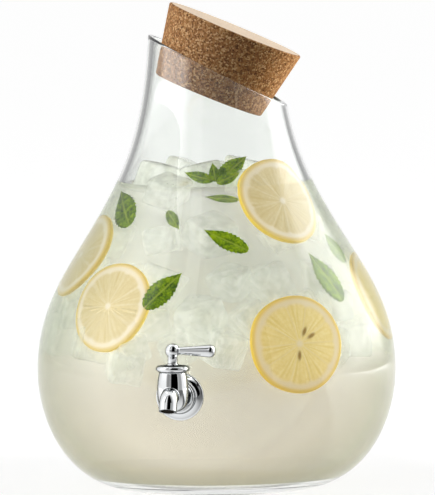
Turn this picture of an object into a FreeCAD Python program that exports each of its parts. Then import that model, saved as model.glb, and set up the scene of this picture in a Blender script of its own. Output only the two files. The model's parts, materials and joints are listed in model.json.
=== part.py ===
import FreeCAD, Part
import math
import os

from FreeCAD import Vector

# Teardrop glass drink dispenser with a slant-cut mouth, a tapered cork stopper and a lever tap.
# Millimetres, +Z up, origin on the standing plane at the vessel's axis, tap towards -Y.

# Vessel: stations of the outer profile, each a radius at a height
FOOT_RADIUS = 78.0
FOOT_RISE_ANGLE = 10.0
HEEL_RADIUS = 107.5
HEEL_HEIGHT = 14.2
FLANK_RADIUS = 131.0
FLANK_HEIGHT = 47.0
BELLY_RADIUS = 140.0
BELLY_HEIGHT = 97.0
SHOULDER_RADIUS = 127.2
SHOULDER_HEIGHT = 150.0
CONE_RADIUS = 105.6
CONE_HEIGHT = 188.0
THROAT_RADIUS = 66.2
THROAT_HEIGHT = 263.0
NECK_RADIUS = 50.0
NECK_LEAN_ANGLE = 3.0

# Vessel: wall, base and mouth; the mouth's low side is turned from +X towards +Y,
# and the neck is blown past its high side by a spare length before it is cut
WALL = 4.5
BASE_THICKNESS = 8.0
FLOOR_FILLET = 8.0
PUNT_RADIUS = 62.0
PUNT_RISE = 2.5
MOUTH_HEIGHT = 327.5
MOUTH_SLOPE = 27.4
MOUTH_TURN = 11.5
NECK_SPARE = 10.6
RIM_ROUND = 1.7

# Cork stopper; its axis crosses the mouth a little to the low side of the vessel's axis
STOPPER_TOP_RADIUS = 55.6
STOPPER_BOTTOM_RADIUS = 44.1
STOPPER_LENGTH = 55.4
STOPPER_TILT = 23.1
STOPPER_OFFSET = 4.0
STOPPER_CHAMFER = 1.0
STOPPER_CLEARANCE = 0.3

# Tap: its height on the vessel and its way through the glass
TAP_HEIGHT = 83.0
HOLE_RADIUS = 8.2
OUTER_GASKET_RADIUS = 17.4
OUTER_GASKET_LEAST = 0.9
INNER_GASKET_RADIUS = 13.0
INNER_GASKET_LEAST = 0.8
WASHER_RADIUS = 13.5
WASHER_THICKNESS = 1.4
NUT_ACROSS_FLATS = 24.0
NUT_THICKNESS = 7.0
NUT_CHAMFER = 0.8
SHANK_RADIUS = 7.8
SHANK_BORE_RADIUS = 4.0
SHANK_STAND_OUT = 2.5
THREAD_PITCH = 2.0
THREAD_DEPTH = 0.6
THREAD_CLEARANCE = 0.1

# Tap: escutcheon and casting; heights are from the tap's own axis
ESCUTCHEON_RADIUS = 18.6
ESCUTCHEON_THICKNESS = 4.6
ESCUTCHEON_EDGE = 2.4
COLLAR_RADIUS = 12.4
COLLAR_THICKNESS = 3.4
COLLAR_EDGE = 1.2
TAP_NECK_RADIUS = 8.4
TAP_REACH = 27.0
BARREL_TOP = 21.3
BARREL_TOP_RADIUS = 10.3
BARREL_WAIST = 7.5
BARREL_WAIST_RADIUS = 12.0
BARREL_FLOOR = -9.3
SPOUT_RADIUS = 6.9
SPOUT_BORE_RADIUS = 4.2
SPOUT_MOUTH_RADIUS = 5.2
SPOUT_AXIS_HEIGHT = 3.4
SPOUT_RUN = 10.0
SPOUT_BEND_RADIUS = 9.5
SPOUT_BEND_ANGLE = 69.0
SPOUT_DROP = 5.0
CASTING_FILLET = 1.0

# Tap: valve inside the barrel
CHAMBER_RADIUS = 7.6
CHAMBER_FLOOR = -6.0
RUNNING_CLEARANCE = 0.08
PLUG_GAP = 0.3
PLUG_TOP = 10.6
PORT_RADIUS = 4.0
PORT_HEIGHT = 1.6
RING_SECTION_RADIUS = 0.9
GROOVE_GAP = 0.05
LOWER_RING_HEIGHT = -4.2
UPPER_RING_HEIGHT = 9.0
STEM_RADIUS = 2.8
STEM_RING_HEIGHT = 15.0
THREAD_NECK_RADIUS = 9.4
THREAD_NECK_LENGTH = 3.2
CAP_SEAL_THICKNESS = 0.8

# Tap: bonnet cap
CAP_RADIUS = 12.9
CAP_GAP = 0.4
CAP_EDGE_HEIGHT = 4.4
CAP_PLATE = 1.5
CAP_BOSS_RADIUS = 4.8
CAP_BOSS_RISE = 0.9

# Tap: lever handle
HUB_RADIUS = 5.6
HUB_GAP = 0.4
SLEEVE_RADIUS = 3.7
SLEEVE_LENGTH = 9.4
SLEEVE_COUNTERBORE = 1.6
STEM_SQUARE = 3.8
SQUARE_CLEARANCE = 0.05
LEVER_LENGTH = 33.4
LEVER_SEAT = 4.4
LEVER_ROOT_RADIUS = 2.7
LEVER_END_RADIUS = 4.8
LEVER_END_ROUND = 4.6
TANG_RADIUS = 1.8
TANG_LENGTH = 1.6
GRUB_RADIUS = 1.25
GRUB_DROP = 1.6
GRUB_RECESS = 0.8
GRUB_SOCKET = 1.3
GRUB_SOCKET_DEPTH = 1.2

MARGIN = 2.0
OFFSET_STATIONS = 14
BAND_STEPS = 20


def interpolated(points, first_tangent, last_tangent):
    # Smooth curve measured by chord length, so that unit tangents suit its ends
    lengths = [0.0]
    for a, b in zip(points, points[1:]):
        lengths.append(lengths[-1] + a.distanceToPoint(b))
    curve = Part.BSplineCurve()
    curve.interpolate(Points=points, Parameters=lengths, Scale=False,
                      InitialTangent=first_tangent, FinalTangent=last_tangent)
    return curve


def bezier(*poles):
    curve = Part.BezierCurve()
    curve.setPoles(list(poles))
    return curve.toShape()


def arc(start, middle, end):
    return Part.Arc(start, middle, end).toShape()


def segment(start, end):
    return Part.LineSegment(start, end).toShape()


def path(*points):
    return [segment(a, b) for a, b in zip(points, points[1:])]


def turned(edges, axis_point, axis):
    # A half section turned all the way round, with its faces outwards whichever way the section runs
    solid = Part.Face(Part.Wire(edges)).revolve(axis_point, axis, 360)
    return solid if solid.Volume > 0 else solid.reversed()


def tube(outer, inner, length, place, direction):
    bore = Part.makeCylinder(inner, length, place, direction)
    return Part.makeCylinder(outer, length, place, direction).cut(bore)


def upright_hexagon(place, across_flats, depth):
    # A hexagon in the XZ plane, drawn out along Y
    corner = across_flats / math.sqrt(3)
    angles = [math.radians(60 * i) for i in range(7)]
    corners = [place + Vector(corner * math.cos(a), 0, corner * math.sin(a)) for a in angles]
    return Part.Face(Part.makePolygon(corners)).extrude(Vector(0, depth, 0))


def neck_top():
    return MOUTH_HEIGHT + NECK_RADIUS * math.tan(math.radians(MOUTH_SLOPE)) + NECK_SPARE


def outer_profile():
    rise = math.radians(FOOT_RISE_ANGLE)
    lean = math.radians(NECK_LEAN_ANGLE)
    stations = [
        Vector(FOOT_RADIUS, 0, 0),
        Vector(HEEL_RADIUS, 0, HEEL_HEIGHT),
        Vector(FLANK_RADIUS, 0, FLANK_HEIGHT),
        Vector(BELLY_RADIUS, 0, BELLY_HEIGHT),
        Vector(SHOULDER_RADIUS, 0, SHOULDER_HEIGHT),
        Vector(CONE_RADIUS, 0, CONE_HEIGHT),
        Vector(THROAT_RADIUS, 0, THROAT_HEIGHT),
        Vector(NECK_RADIUS, 0, neck_top()),
    ]
    return interpolated(stations, Vector(math.cos(rise), 0, math.sin(rise)),
                        Vector(-math.sin(lean), 0, math.cos(lean)))


def inner_profile(outer):
    # The outer profile moved inwards by the wall, along its own normals
    start = outer.FirstParameter
    step = (outer.LastParameter - start) / (OFFSET_STATIONS - 1)
    parameters = [start + step * i for i in range(OFFSET_STATIONS)]
    tangents = [outer.tangent(p)[0] for p in parameters]
    points = [outer.value(p) + Vector(-t.z, 0, t.x) * WALL for p, t in zip(parameters, tangents)]
    return interpolated(points, tangents[0], tangents[-1])


def radius_at(profile, height):
    # The profile climbs all the way, so halving its span finds the height
    low, high = profile.FirstParameter, profile.LastParameter
    for _ in range(60):
        middle = (low + high) / 2
        if profile.value(middle).z < height:
            low = middle
        else:
            high = middle
    return profile.value(low).x


def radii_near(profile, height, reach):
    # Radii of the profile over a band of heights
    lowest = height - reach
    return [radius_at(profile, lowest + 2 * reach * i / BAND_STEPS) for i in range(BAND_STEPS + 1)]


def turned_vessel(section):
    # Its seam is swung round to the tap's side, so that the tap's hole crosses it
    solid = turned(section, Vector(), Vector(0, 0, 1))
    solid.Placement = FreeCAD.Placement(Vector(), FreeCAD.Rotation(Vector(1, 0, 0), Vector(0, -1, 0)))
    return solid


def vessel_outside(profile):
    foot = profile.value(profile.FirstParameter)
    top = profile.value(profile.LastParameter)
    axis_top = Vector(0, 0, top.z)
    punt_centre = Vector(0, 0, PUNT_RISE)
    punt_middle = Vector(PUNT_RADIUS / 2, 0, PUNT_RISE * 0.75)
    punt_edge = Vector(PUNT_RADIUS, 0, 0)
    section = [arc(punt_centre, punt_middle, punt_edge), segment(punt_edge, foot), profile.toShape()]
    return turned_vessel(section + path(top, axis_top, punt_centre))


def vessel_inside(profile):
    foot = profile.value(profile.FirstParameter)
    top = profile.value(profile.LastParameter)
    axis_top = Vector(0, 0, top.z)
    axis_bottom = Vector(0, 0, foot.z)
    cavity = turned_vessel([profile.toShape()] + path(top, axis_top, axis_bottom, foot))
    floor = Vector(0, 0, BASE_THICKNESS)
    cavity = cavity.common(Part.makeCylinder(BELLY_RADIUS + MARGIN, top.z, floor))
    floor_edges = [e for e in cavity.Edges if not e.Degenerated
                   and abs(e.BoundBox.ZMax - BASE_THICKNESS) < 1e-4 and e.BoundBox.XLength > WALL]
    return cavity.makeFillet(FLOOR_FILLET, floor_edges)


class Mouth:
    """The slanted plane that cuts the neck, high on one side and low on the other."""

    def __init__(self):
        turn = math.radians(MOUTH_TURN)
        self.low_way = Vector(math.cos(turn), math.sin(turn), 0)
        self.fall = math.tan(math.radians(MOUTH_SLOPE))

    def height_at(self, point):
        return MOUTH_HEIGHT - self.low_way.dot(point) * self.fall

    def lean(self, shape, angle):
        # Leans an upright shape towards the low side
        shape.rotate(Vector(), Vector(0, 1, 0), angle)
        shape.rotate(Vector(), Vector(0, 0, 1), MOUTH_TURN)

    def all_below(self):
        reach = 2 * (BELLY_RADIUS + MARGIN)
        depth = 2 * MOUTH_HEIGHT
        block = Part.makeBox(2 * reach, 2 * reach, depth, Vector(-reach, -reach, -depth))
        self.lean(block, MOUTH_SLOPE)
        block.translate(Vector(0, 0, MOUTH_HEIGHT))
        return block

    def holds(self, edge):
        points = [] if edge.Degenerated else edge.discretize(12)
        return bool(points) and all(abs(p.z - self.height_at(p)) < 1e-3 for p in points)


def glass_vessel(outside, inside, mouth, tap):
    drill = Part.makeCylinder(HOLE_RADIUS, tap.grip, tap.at(0, 0), tap.inward)
    glass = outside.cut(inside).cut(drill).common(mouth.all_below())
    return glass.makeFillet(RIM_ROUND, [e for e in glass.Edges if mouth.holds(e)])


def cork_stopper(inner, mouth):
    # It drops until, just under the round of the rim, it is as wide as the mouth is from front to back
    crossing = mouth.low_way * STOPPER_OFFSET
    crossing.z = mouth.height_at(crossing)
    half_width = math.sqrt(radius_at(inner, crossing.z - RIM_ROUND) ** 2 - STOPPER_OFFSET ** 2)
    taper = (STOPPER_TOP_RADIUS - STOPPER_BOTTOM_RADIUS) / STOPPER_LENGTH
    depth = RIM_ROUND + (half_width - STOPPER_CLEARANCE - STOPPER_BOTTOM_RADIUS) / taper
    cone = Part.makeCone(STOPPER_BOTTOM_RADIUS, STOPPER_TOP_RADIUS, STOPPER_LENGTH)
    rims = [e for e in cone.Edges if isinstance(e.Curve, Part.Circle)]
    cone = cone.makeChamfer(STOPPER_CHAMFER, rims)
    cone.translate(Vector(0, 0, -depth))
    mouth.lean(cone, STOPPER_TILT)
    cone.translate(crossing)
    return cone


class Tap:
    """Places on the tap: out is from the escutcheon's back, up is from the tap's own axis."""

    def __init__(self, outer, inner):
        front = max(radii_near(outer, TAP_HEIGHT, ESCUTCHEON_RADIUS))
        narrowest = min(radii_near(inner, TAP_HEIGHT, WASHER_RADIUS))
        back = math.sqrt(narrowest ** 2 - WASHER_RADIUS ** 2)
        self.seat = -front - OUTER_GASKET_LEAST
        self.inner_seat = INNER_GASKET_LEAST - back
        self.grip = self.inner_seat - self.seat
        self.shank_end = self.inner_seat + WASHER_THICKNESS + NUT_THICKNESS + SHANK_STAND_OUT
        self.neck_top = BARREL_TOP + THREAD_NECK_LENGTH
        self.cap_bottom = BARREL_TOP + CAP_GAP
        self.cap_roof = self.neck_top + CAP_SEAL_THICKNESS
        self.cap_crown = self.cap_roof + CAP_PLATE
        self.boss_top = self.cap_crown + CAP_BOSS_RISE
        self.sleeve_bottom = self.boss_top + HUB_GAP
        self.square_bottom = self.sleeve_bottom + SLEEVE_COUNTERBORE
        self.hub_height = self.sleeve_bottom + SLEEVE_LENGTH
        self.outward = Vector(0, -1, 0)
        self.inward = Vector(0, 1, 0)
        self.upward = Vector(0, 0, 1)

    def at(self, out, up):
        return Vector(0, self.seat - out, TAP_HEIGHT + up)

    def inside_at(self, depth):
        # On the tap's axis, past the inner gasket
        return Vector(0, self.inner_seat + depth, TAP_HEIGHT)

    def on_stem(self, up, across=0):
        return self.at(TAP_REACH, up) + Vector(across, 0, 0)

    def rod(self, radius, bottom, top):
        return Part.makeCylinder(radius, top - bottom, self.on_stem(bottom), self.upward)

    def turned_on_stem(self, edges):
        return turned(edges, self.on_stem(0), self.upward)

    def seal_ring(self, radius, height):
        return Part.makeTorus(radius, RING_SECTION_RADIUS, self.on_stem(height), self.upward)

    def ring_groove(self, inner, outer, height):
        half = RING_SECTION_RADIUS + GROOVE_GAP
        return tube(outer, inner, 2 * half, self.on_stem(height - half), self.upward)

    def square_rod(self, width, bottom, top):
        corner = self.on_stem(bottom) - Vector(width / 2, width / 2, 0)
        return Part.makeBox(width, width, top - bottom, corner)


def outer_gasket(tap, glass):
    # Flat against the escutcheon, moulded to the curve of the glass
    blank = tube(OUTER_GASKET_RADIUS, HOLE_RADIUS, tap.grip / 2, tap.at(0, 0), tap.inward)
    return min(blank.cut(glass).Solids, key=lambda solid: solid.BoundBox.YMin)


def inner_gasket(tap, glass):
    # Flat against the washer, moulded to the curve of the glass
    blank = tube(INNER_GASKET_RADIUS, HOLE_RADIUS, tap.grip / 2, tap.inside_at(0), tap.outward)
    return max(blank.cut(glass).Solids, key=lambda solid: solid.BoundBox.YMax)


def thrust_washer(tap):
    hole = SHANK_RADIUS + THREAD_CLEARANCE
    return tube(WASHER_RADIUS, hole, WASHER_THICKNESS, tap.inside_at(0), tap.inward)


def lock_nut(tap):
    place = tap.inside_at(WASHER_THICKNESS)
    half = NUT_THICKNESS / 2
    middle = place + tap.inward * half
    narrow = NUT_ACROSS_FLATS / math.sqrt(3) - NUT_CHAMFER
    # Two cones back to back clip the hexagon's corners at both faces
    cones = [Part.makeCone(narrow, narrow + half, half, place, tap.inward),
             Part.makeCone(narrow + half, narrow, half, middle, tap.inward)]
    nut = upright_hexagon(place, NUT_ACROSS_FLATS, NUT_THICKNESS).common(cones[0].fuse(cones[1]))
    return nut.cut(Part.makeCylinder(SHANK_RADIUS + THREAD_CLEARANCE, NUT_THICKNESS, place, tap.inward))


def escutcheon(tap):
    # A round edge, then a hollow curve that climbs to the collar

    def place(radius, out):
        return tap.at(out, radius)

    round_start = ESCUTCHEON_RADIUS - ESCUTCHEON_EDGE / 2
    crest = COLLAR_RADIUS + COLLAR_EDGE / 2
    edge_front = place(round_start, ESCUTCHEON_EDGE)
    section = path(place(HOLE_RADIUS, ESCUTCHEON_THICKNESS), place(HOLE_RADIUS, 0), place(round_start, 0))
    section += [
        arc(place(round_start, 0), place(ESCUTCHEON_RADIUS, ESCUTCHEON_EDGE / 2), edge_front),
        bezier(edge_front, place(crest, ESCUTCHEON_EDGE), place(crest, ESCUTCHEON_THICKNESS)),
        segment(place(crest, ESCUTCHEON_THICKNESS), place(HOLE_RADIUS, ESCUTCHEON_THICKNESS)),
    ]
    return turned(section, tap.at(0, 0), tap.outward)


def threaded_shank(tap):
    # Ridges from the free end back to the plain stretch under the escutcheon
    start = tap.at(ESCUTCHEON_THICKNESS, 0)
    length = tap.shank_end - start.y
    ridge_count = int(length / THREAD_PITCH) - 2
    root = SHANK_RADIUS - THREAD_DEPTH
    points = [start, start + Vector(SHANK_RADIUS, 0, 0)]
    for i in range(ridge_count, 0, -1):
        along = length - i * THREAD_PITCH
        points.append(start + Vector(SHANK_RADIUS, along, 0))
        points.append(start + Vector(root, along + THREAD_PITCH / 2, 0))
    points += [start + Vector(root, length, 0), start + Vector(0, length, 0), start]
    return turned(path(*points), start, tap.inward)


def barrel_blank(tap):
    bottom = tap.on_stem(BARREL_FLOOR)
    waist = tap.on_stem(BARREL_WAIST, BARREL_WAIST_RADIUS)
    top = tap.on_stem(BARREL_TOP, BARREL_TOP_RADIUS)
    bowl = bezier(bottom, tap.on_stem(BARREL_FLOOR, BARREL_WAIST_RADIUS * 0.72),
                  tap.on_stem(BARREL_FLOOR * 0.55, BARREL_WAIST_RADIUS), waist)
    side = bezier(waist, tap.on_stem((BARREL_WAIST + BARREL_TOP) / 2, BARREL_WAIST_RADIUS), top)
    return tap.turned_on_stem([bowl, side] + path(top, tap.on_stem(BARREL_TOP), bottom))


def spout(tap, run_radius, drop_radius):
    # A level run out of the barrel, an elbow, and a straight drop to the mouth
    bend = math.radians(SPOUT_BEND_ANGLE)
    bend_start = tap.at(TAP_REACH + SPOUT_RUN, SPOUT_AXIS_HEIGHT)
    bend_centre = bend_start - tap.upward * SPOUT_BEND_RADIUS
    run = Part.makeCylinder(run_radius, SPOUT_RUN, tap.on_stem(SPOUT_AXIS_HEIGHT), tap.outward)
    section = Part.Face(Part.Wire(Part.makeCircle(run_radius, bend_start, tap.outward)))
    elbow = section.revolve(bend_centre, Vector(1, 0, 0), SPOUT_BEND_ANGLE)
    drop_start = bend_centre + Vector(0, -math.sin(bend), math.cos(bend)) * SPOUT_BEND_RADIUS
    drop_way = Vector(0, -math.cos(bend), -math.sin(bend))
    return [run, elbow, Part.makeCylinder(drop_radius, SPOUT_DROP, drop_start, drop_way)]


def runs_into_barrel(tap, edge):
    # The curves where the neck and the spout meet the barrel
    if edge.Degenerated or isinstance(edge.Curve, (Part.Circle, Part.Line)):
        return False
    box = edge.BoundBox
    return box.XLength > SPOUT_RADIUS and abs(box.Center.y - tap.on_stem(0).y) < BARREL_WAIST_RADIUS


def tap_casting(tap):
    collar_back = tap.at(ESCUTCHEON_THICKNESS, 0)
    collar_front = tap.at(ESCUTCHEON_THICKNESS + COLLAR_THICKNESS, 0)
    collar = Part.makeCylinder(COLLAR_RADIUS, COLLAR_THICKNESS, collar_back, tap.outward)
    front_edges = [e for e in collar.Edges if abs(e.BoundBox.YMax - collar_front.y) < 1e-4]
    collar = collar.makeFillet(COLLAR_EDGE, front_edges)
    neck = Part.makeCylinder(TAP_NECK_RADIUS, TAP_REACH - ESCUTCHEON_THICKNESS, collar_back, tap.outward)
    shell = barrel_blank(tap).fuse([neck, collar] + spout(tap, SPOUT_RADIUS, SPOUT_RADIUS))
    shell = shell.removeSplitter()
    shell = shell.makeFillet(CASTING_FILLET, [e for e in shell.Edges if runs_into_barrel(tap, e)])
    thread_neck = tap.rod(THREAD_NECK_RADIUS, BARREL_TOP, tap.neck_top)
    shell = shell.fuse([threaded_shank(tap), thread_neck]).removeSplitter()
    chamber = tap.rod(CHAMBER_RADIUS, CHAMBER_FLOOR, tap.neck_top)
    inlet_end = Vector(0, tap.shank_end, TAP_HEIGHT)
    inlet_length = tap.shank_end - tap.on_stem(0).y
    inlet = Part.makeCylinder(SHANK_BORE_RADIUS, inlet_length, inlet_end, tap.outward)
    return shell.cut([chamber, inlet] + spout(tap, SPOUT_BORE_RADIUS, SPOUT_MOUTH_RADIUS))


def plug_rings(tap):
    radius = CHAMBER_RADIUS - RUNNING_CLEARANCE - RING_SECTION_RADIUS
    return [tap.seal_ring(radius, height) for height in (LOWER_RING_HEIGHT, UPPER_RING_HEIGHT)]


def valve_plug(tap):
    # Cross port along X when shut, a groove for each ring; the square top carries the handle
    radius = CHAMBER_RADIUS - RUNNING_CLEARANCE
    body = tap.rod(radius, CHAMBER_FLOOR + PLUG_GAP, PLUG_TOP)
    stem = tap.rod(STEM_RADIUS, PLUG_TOP, tap.square_bottom)
    square = tap.square_rod(STEM_SQUARE, tap.square_bottom, tap.hub_height)
    port_start = tap.on_stem(PORT_HEIGHT, -CHAMBER_RADIUS)
    port = Part.makeCylinder(PORT_RADIUS, 2 * CHAMBER_RADIUS, port_start, Vector(1, 0, 0))
    groove_floor = radius - 2 * RING_SECTION_RADIUS - GROOVE_GAP
    grooves = [tap.ring_groove(groove_floor, CHAMBER_RADIUS, height)
               for height in (LOWER_RING_HEIGHT, UPPER_RING_HEIGHT)]
    return body.fuse([stem, square]).removeSplitter().cut([port] + grooves)


def stem_ring(tap):
    return tap.seal_ring(STEM_RADIUS + RUNNING_CLEARANCE + RING_SECTION_RADIUS, STEM_RING_HEIGHT)


def gland_bush(tap):
    # Its bore runs on the stem, with a groove for the stem ring
    bottom = PLUG_TOP + PLUG_GAP
    bore = STEM_RADIUS + RUNNING_CLEARANCE
    groove_floor = bore + 2 * RING_SECTION_RADIUS + GROOVE_GAP
    bush = tap.rod(CHAMBER_RADIUS, bottom, tap.neck_top)
    groove = tap.ring_groove(STEM_RADIUS, groove_floor, STEM_RING_HEIGHT)
    return bush.cut([tap.rod(bore, bottom, tap.neck_top), groove])


def cap_seal(tap):
    seal = tap.rod(THREAD_NECK_RADIUS, tap.neck_top, tap.cap_roof)
    return seal.cut(tap.rod(STEM_RADIUS + RUNNING_CLEARANCE, tap.neck_top, tap.cap_roof))


def bonnet_cap(tap):
    # A round-edged cap with a low crown and a boss round the stem
    hole = STEM_RADIUS + RUNNING_CLEARANCE
    hollow = THREAD_NECK_RADIUS + THREAD_CLEARANCE
    bead = CAP_EDGE_HEIGHT / 2
    edge_foot = tap.on_stem(tap.cap_bottom, CAP_RADIUS - bead)
    edge_side = tap.on_stem(tap.cap_bottom + bead, CAP_RADIUS)
    edge_head = tap.on_stem(tap.cap_bottom + CAP_EDGE_HEIGHT, CAP_RADIUS - bead)
    dip = tap.on_stem(tap.cap_bottom + CAP_EDGE_HEIGHT, (CAP_RADIUS + CAP_BOSS_RADIUS) / 2)
    crown = tap.on_stem(tap.cap_crown, CAP_BOSS_RADIUS)
    section = path(tap.on_stem(tap.cap_roof, hole), tap.on_stem(tap.cap_roof, hollow),
                   tap.on_stem(tap.cap_bottom, hollow), edge_foot)
    section += [arc(edge_foot, edge_side, edge_head), bezier(edge_head, dip, crown)]
    section += path(crown, tap.on_stem(tap.boss_top, CAP_BOSS_RADIUS - CAP_BOSS_RISE),
                    tap.on_stem(tap.boss_top, hole), tap.on_stem(tap.cap_roof, hole))
    return tap.turned_on_stem(section)


def grub_hole(tap):
    # Opens from the back of the ball onto the stem's square
    place = tap.on_stem(tap.hub_height - GRUB_DROP) + tap.inward * (STEM_SQUARE / 2 + SQUARE_CLEARANCE)
    return place, HUB_RADIUS - GRUB_RECESS - STEM_SQUARE / 2


def handle_hub(tap):
    centre = tap.on_stem(tap.hub_height)
    ball = Part.makeSphere(HUB_RADIUS, centre)
    sleeve = tap.rod(SLEEVE_RADIUS, tap.sleeve_bottom, tap.hub_height)
    counterbore = tap.rod(STEM_RADIUS + SQUARE_CLEARANCE, tap.sleeve_bottom, tap.square_bottom)
    socket = tap.square_rod(STEM_SQUARE + 2 * SQUARE_CLEARANCE, tap.square_bottom, tap.hub_height)
    seat = centre + Vector(LEVER_SEAT, 0, 0)
    flat = Part.makeCylinder(HUB_RADIUS, HUB_RADIUS, seat, Vector(1, 0, 0))
    tang_hole = Part.makeCylinder(TANG_RADIUS, TANG_LENGTH, seat, Vector(-1, 0, 0))
    screw_start, _ = grub_hole(tap)
    screw_hole = Part.makeCylinder(GRUB_RADIUS, HUB_RADIUS, screw_start, tap.inward)
    return ball.fuse(sleeve).removeSplitter().cut([counterbore, socket, flat, tang_hole, screw_hole])


def lever_arm(tap):
    # Turned on its own axis: a tang in the ball, a slow swelling taper and a round end

    def place(along, radius):
        return tap.on_stem(tap.hub_height + radius, along)

    tang_end = LEVER_SEAT - TANG_LENGTH
    round_start = LEVER_LENGTH - LEVER_END_ROUND
    shoulder = place(round_start, LEVER_END_RADIUS)
    tip = place(LEVER_LENGTH, 0)
    section = path(tip, place(tang_end, 0), place(tang_end, TANG_RADIUS), place(LEVER_SEAT, TANG_RADIUS),
                   place(LEVER_SEAT, LEVER_ROOT_RADIUS), shoulder)
    section.append(bezier(shoulder, place(LEVER_LENGTH - LEVER_END_ROUND * 0.4, LEVER_END_RADIUS * 1.04),
                          place(LEVER_LENGTH, LEVER_END_RADIUS * 0.6), tip))
    return turned(section, tip, Vector(1, 0, 0))


def grub_screw(tap):
    place, length = grub_hole(tap)
    screw = Part.makeCylinder(GRUB_RADIUS, length, place, tap.inward)
    return screw.cut(upright_hexagon(place + tap.inward * length, GRUB_SOCKET, -GRUB_SOCKET_DEPTH))


def build():
    outer = outer_profile()
    inner = inner_profile(outer)
    mouth = Mouth()
    tap = Tap(outer, inner)
    glass = glass_vessel(vessel_outside(outer), vessel_inside(inner), mouth, tap)
    return {
        "glass_vessel": glass,
        "cork_stopper": cork_stopper(inner, mouth),
        "outer_gasket": outer_gasket(tap, glass),
        "inner_gasket": inner_gasket(tap, glass),
        "thrust_washer": thrust_washer(tap),
        "lock_nut": lock_nut(tap),
        "escutcheon": escutcheon(tap),
        "tap_casting": tap_casting(tap),
        "valve_plug": valve_plug(tap),
        "plug_rings": Part.makeCompound(plug_rings(tap)),
        "gland_bush": gland_bush(tap),
        "stem_ring": stem_ring(tap),
        "cap_seal": cap_seal(tap),
        "bonnet_cap": bonnet_cap(tap),
        "handle_hub": handle_hub(tap),
        "lever_arm": lever_arm(tap),
        "grub_screw": grub_screw(tap),
    }


os.makedirs("parts", exist_ok=True)
for name, shape in build().items():
    shape.exportStep(f"parts/{name}.step")
    print(name, "solids", len(shape.Solids), "valid", shape.isValid(), "volume", round(shape.Volume, 1))
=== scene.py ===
import bpy
import bmesh
import json
import math
import numpy as np
from functools import partial
from mathutils import Matrix

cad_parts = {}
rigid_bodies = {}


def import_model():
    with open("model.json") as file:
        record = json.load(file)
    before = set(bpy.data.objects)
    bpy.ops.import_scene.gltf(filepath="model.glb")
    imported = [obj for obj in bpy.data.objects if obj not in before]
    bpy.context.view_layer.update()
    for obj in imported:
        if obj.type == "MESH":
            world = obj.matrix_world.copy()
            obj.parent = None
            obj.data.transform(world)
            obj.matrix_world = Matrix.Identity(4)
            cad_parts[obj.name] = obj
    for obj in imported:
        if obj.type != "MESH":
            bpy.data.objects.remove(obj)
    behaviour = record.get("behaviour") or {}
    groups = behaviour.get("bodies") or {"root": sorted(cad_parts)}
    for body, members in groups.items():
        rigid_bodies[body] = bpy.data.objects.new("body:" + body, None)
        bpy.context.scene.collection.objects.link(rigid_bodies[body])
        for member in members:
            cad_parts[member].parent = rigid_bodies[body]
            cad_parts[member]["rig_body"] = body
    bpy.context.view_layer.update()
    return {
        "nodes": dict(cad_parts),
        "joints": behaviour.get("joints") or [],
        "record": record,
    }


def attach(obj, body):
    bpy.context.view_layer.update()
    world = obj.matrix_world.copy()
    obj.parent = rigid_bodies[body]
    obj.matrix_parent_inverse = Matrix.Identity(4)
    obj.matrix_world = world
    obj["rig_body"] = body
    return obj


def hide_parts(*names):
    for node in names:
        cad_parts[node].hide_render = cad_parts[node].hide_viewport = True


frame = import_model()
mm = 0.001  # pieces are worked out in millimetres and written in metres
anyTurn = 6.3  # radians, the most that chance turns a thing
scene = bpy.context.scene


def linear(hexColour):
    # sRGB to linear: v / 12.92 below 0.04045, else ((v + 0.055) / 1.055) to the power 2.4
    channels = [int(hexColour[i:i + 2], 16) / 255 for i in (1, 3, 5)]
    return tuple(v / 12.92 if v <= 0.04045 else ((v + 0.055) / 1.055) ** 2.4 for v in channels) + (1.0,)


def addNode(tree, kind, sockets=None, stops=None, **settings):
    # One node: its settings, then a link or a value for each socket, and the stops of a ramp; a node given for a
    # socket stands for its own first open output
    node = tree.nodes.new("ShaderNode" + kind)
    for key, value in settings.items():
        setattr(node, key, value)
    for key, value in (sockets or {}).items():
        if isinstance(value, bpy.types.Node):
            value = next(output for output in value.outputs if output.enabled)
        if isinstance(value, bpy.types.NodeSocket):
            tree.links.new(value, node.inputs[key])
        else:
            node.inputs[key].default_value = value
    for i, (place, hexColour) in enumerate(stops or ()):
        stop = node.color_ramp.elements[i] if i < 2 else node.color_ramp.elements.new(place)
        stop.position = place
        stop.color = linear(hexColour)
    return node


def emptied(data):
    # Material or world without nodes, and the function that adds one to it
    data.use_nodes = True
    data.node_tree.nodes.clear()
    return data, partial(addNode, data.node_tree)


def newMaterial(name):
    return emptied(bpy.data.materials.new(name))


def anyRay(add, *kinds):
    # 1 for a ray of one of these kinds, else 0: the greatest of the light path's marks
    path = add("LightPath")
    mark = path.outputs[f"Is {kinds[0]} Ray"]
    for kind in kinds[1:]:
        mark = add("Math", {0: mark, 1: path.outputs[f"Is {kind} Ray"]}, operation="MAXIMUM")
    return mark


def newObject(name, data):
    thing = bpy.data.objects.new(name, data)
    scene.collection.objects.link(thing)
    return thing


def roundAngles(count):
    # Even steps of a full turn, the last one short of the first
    return np.linspace(0.0, 2 * math.pi, count, endpoint=False)


def wrapped(angle):
    # Angle brought to between minus and plus half a turn
    return (angle + math.pi) % (2 * math.pi) - math.pi


def sideBySide(*parts):
    # Arrays spread to one size and set side by side along a new last axis
    return np.stack(np.broadcast_arrays(*parts), axis=-1)


def rotated(x, y, angle):
    # Flat turn: x cos a - y sin a, and x sin a + y cos a
    return x * math.cos(angle) - y * math.sin(angle), x * math.sin(angle) + y * math.cos(angle)


def rowsOf(items, key):
    # Three numbers of each corner or face, one to a row
    rows = np.zeros(len(items) * 3)
    items.foreach_get(key, rows)
    return rows.reshape(-1, 3)


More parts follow.
